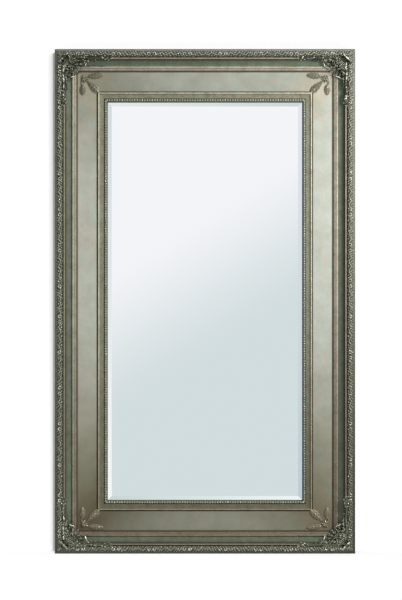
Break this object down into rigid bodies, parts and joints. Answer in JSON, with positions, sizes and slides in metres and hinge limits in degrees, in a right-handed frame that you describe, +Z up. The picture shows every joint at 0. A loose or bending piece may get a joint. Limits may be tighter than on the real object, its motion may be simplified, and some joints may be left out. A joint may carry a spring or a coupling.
{
  "type": "floor mirror",
  "caption": "Tall leaning floor mirror with bevelled glass in a wide mitred frame of aged silver leaf, with a carved outer edge, leaf corners, a beaded sight edge and swinging hanger rings.",
  "frame": {"origin": "on the floor, under the middle of the box round the mirror", "axes": "+Z up, +X to the right seen from the front, -Y out of the mirror's face, +Y towards the wall"},
  "size_m": [1.14, 0.08, 1.914],
  "materials": {
    "silver_leaf_moulding": "aged silver leaf with a green-grey wash, satin",
    "silver_leaf_panel": "aged silver leaf, satin",
    "carved_silver_wood": "silver leaf with dark wash in the carving, satin",
    "cast_silver_ornament": "silver leaf with dark wash over cast composition, satin",
    "silvered_glass": "polished",
    "hardboard": "matte",
    "bare_wood": "matte",
    "zinc_steel": "bright zinc",
    "black_rubber": "matte"
  },
  "bodies": {
    "frame": {"backing_board": "hardboard", "backing_screws": "zinc_steel", "carved_band_bottom": "carved_silver_wood", "carved_band_left": "carved_silver_wood", "carved_band_right": "carved_silver_wood", "carved_band_top": "carved_silver_wood", "corner_acanthus_bottom_left": "cast_silver_ornament", "corner_acanthus_bottom_right": "cast_silver_ornament", "corner_acanthus_top_left": "cast_silver_ornament", "corner_acanthus_top_right": "cast_silver_ornament", "corner_plate_bottom_left": "zinc_steel", "corner_plate_bottom_right": "zinc_steel", "corner_plate_screws": "zinc_steel", "corner_plate_top_left": "zinc_steel", "corner_plate_top_right": "zinc_steel", "glue_blocks": "bare_wood", "hanger_screws": "zinc_steel", "hanger_strap_left": "zinc_steel", "hanger_strap_right": "zinc_steel", "leaf_spray_bottom_left": "cast_silver_ornament", "leaf_spray_bottom_right": "cast_silver_ornament", "leaf_spray_top_left": "cast_silver_ornament", "leaf_spray_top_right": "cast_silver_ornament", "mirror_glass": "silvered_glass", "mitre_dowels": "bare_wood", "outer_moulding_bottom": "silver_leaf_moulding", "outer_moulding_left": "silver_leaf_moulding", "outer_moulding_right": "silver_leaf_moulding", "outer_moulding_top": "silver_leaf_moulding", "panel_biscuits": "bare_wood", "panel_board_bottom": "silver_leaf_panel", "panel_board_left": "silver_leaf_panel", "panel_board_right": "silver_leaf_panel", "panel_board_top": "silver_leaf_panel", "setting_blocks": "black_rubber", "sight_beading_bottom": "carved_silver_wood", "sight_beading_left": "carved_silver_wood", "sight_beading_right": "carved_silver_wood", "sight_beading_top": "carved_silver_wood", "sight_moulding_bottom": "silver_leaf_moulding", "sight_moulding_left": "silver_leaf_moulding", "sight_moulding_right": "silver_leaf_moulding", "sight_moulding_top": "silver_leaf_moulding", "wall_bumpers": "black_rubber"},
    "left_ring": {"hanger_ring_left": "zinc_steel"},
    "right_ring": {"hanger_ring_right": "zinc_steel"}
  },
  "joints": [
    {"name": "left_ring_swing", "type": "hinge", "parent": "frame", "child": "left_ring", "pos_m": [-0.535, 0.03555, 1.49292], "axis": [1, 0, 0], "range_deg": [0, 176]},
    {"name": "right_ring_swing", "type": "hinge", "parent": "frame", "child": "right_ring", "pos_m": [0.535, 0.03555, 1.49292], "axis": [1, 0, 0], "range_deg": [0, 176]}
  ]
}
